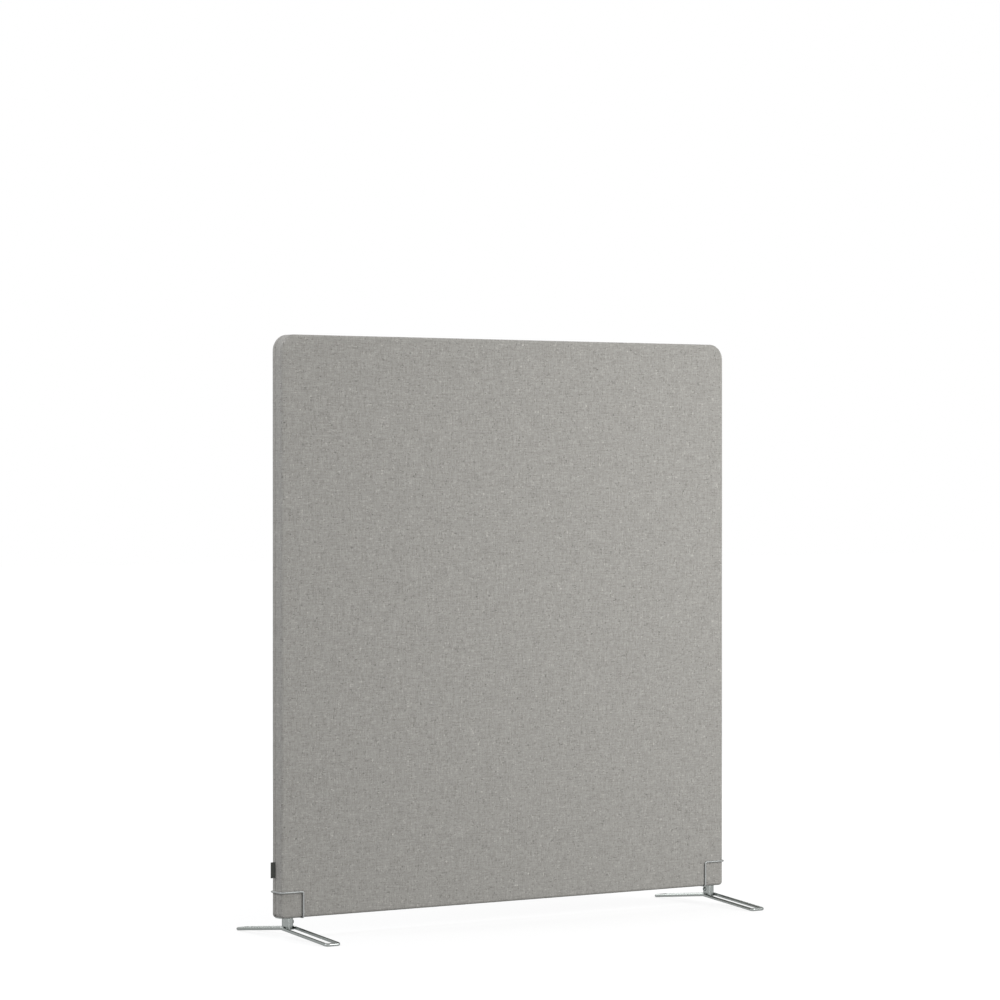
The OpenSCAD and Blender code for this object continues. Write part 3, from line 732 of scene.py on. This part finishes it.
# Each lamp's place, target, width, height, watts and colour. The key stands in front on the right. The
# strip, low and far in front, draws the bright line down the metal. The fills light the left edge and the
# back.
LAMPS = {
    "key": ((1.4, -2.4, 1.4), (0.2, 0, 0.7), 1.4, 1.4, 47, WHITE),
    "front_strip": ((-0.9, -8, 0.5), (0, 0, 0.6), 0.5, 1.0, 48, WHITE),
    "left_fill": ((-3.06, 0.2, 2.45), (-0.6, 0, 0.7), 1.4, 1.4, 39.5, "#f8faff"),
    "back_fill": ((0.3, 3.4, 2.5), (0, 0, 0.65), 1.8, 1.8, 48, WHITE),
}


def seen_directly(tree):
    """1 for what the camera sees, and what gloss and clear pieces show of it, else 0."""
    rays = add(tree, "ShaderNodeLightPath").outputs
    seen = rays["Is Camera Ray"]
    for other in ("Is Glossy Ray", "Is Transmission Ray"):
        seen = add(tree, "ShaderNodeMath", {0: seen, 1: rays[other]}, operation="MAXIMUM")
    return seen


def floor():
    deselect()
    bpy.ops.mesh.primitive_plane_add(size=FLOOR_SIZE, location=(0, 0, -FLOOR_DROP))
    ground = settle(bpy.context.object, "studio_floor")
    material, tree = new_material("white_floor")
    matt = add(tree, "ShaderNodeBsdfDiffuse", {"Color": linear(FLOOR_GREY)})
    place = add(tree, "ShaderNodeTexCoord").outputs["Object"]
    distance = add(tree, "ShaderNodeVectorMath", {0: place}, operation="LENGTH").outputs["Value"]
    level = add(tree, "ShaderNodeMapRange", {
        0: distance, 1: LIT_RADIUS, 2: FAR_RADIUS, 3: FLOOR_GLOW, 4: FAR_GLOW})
    strength = add(tree, "ShaderNodeMath", {0: seen_directly(tree), 1: level}, operation="MULTIPLY")
    glow = add(tree, "ShaderNodeEmission", {"Strength": strength})
    both = add(tree, "ShaderNodeAddShader", {0: matt, 1: glow})
    add(tree, "ShaderNodeOutputMaterial", {"Surface": both})
    ground.data.materials.append(material)


def surround():
    world = bpy.data.worlds.new("white_surround")
    bpy.context.scene.world = world
    world.use_nodes = True
    tree = world.node_tree
    tree.nodes.clear()
    strength = add(tree, "ShaderNodeMapRange", {0: seen_directly(tree), 3: ROOM_LIGHT, 4: 1.0})
    light = add(tree, "ShaderNodeBackground", {"Color": linear(WHITE), "Strength": strength})
    add(tree, "ShaderNodeOutputWorld", {"Surface": light})


def lamp(name, place, target, width, height, watts, colour):
    data = bpy.data.lights.new(name, "AREA")
    data.shape = "RECTANGLE"
    data.size = width
    data.size_y = height
    data.energy = watts
    data.color = linear(colour)[:3]
    lit = bpy.data.objects.new(name, data)
    lit.location = place
    lit.rotation_euler = (Vector(target) - Vector(place)).to_track_quat("-Z", "Y").to_euler()
    bpy.context.scene.collection.objects.link(lit)
    lit.visible_camera = False


# The photograph's camera, found from the panel's edge lines and the feet
CAMERA_PLACE = (-4.9603, -6.9964, 0.9884)
CAMERA_YAW = math.radians(-35.246)
CAMERA_PITCH = math.radians(-0.362)
CAMERA_LENS = 138.91
CAMERA_SENSOR = 36


def camera():
    data = bpy.data.cameras.new("view")
    data.sensor_width = CAMERA_SENSOR
    data.lens = CAMERA_LENS
    eye = bpy.data.objects.new("view", data)
    eye.location = CAMERA_PLACE
    eye.rotation_euler = (math.pi / 2 + CAMERA_PITCH, 0, CAMERA_YAW)
    bpy.context.scene.collection.objects.link(eye)
    bpy.context.scene.camera = eye


floor()
surround()
for lamp_name, facts in LAMPS.items():
    lamp(lamp_name, *facts)
camera()
bpy.context.scene.view_settings.view_transform = "Standard"
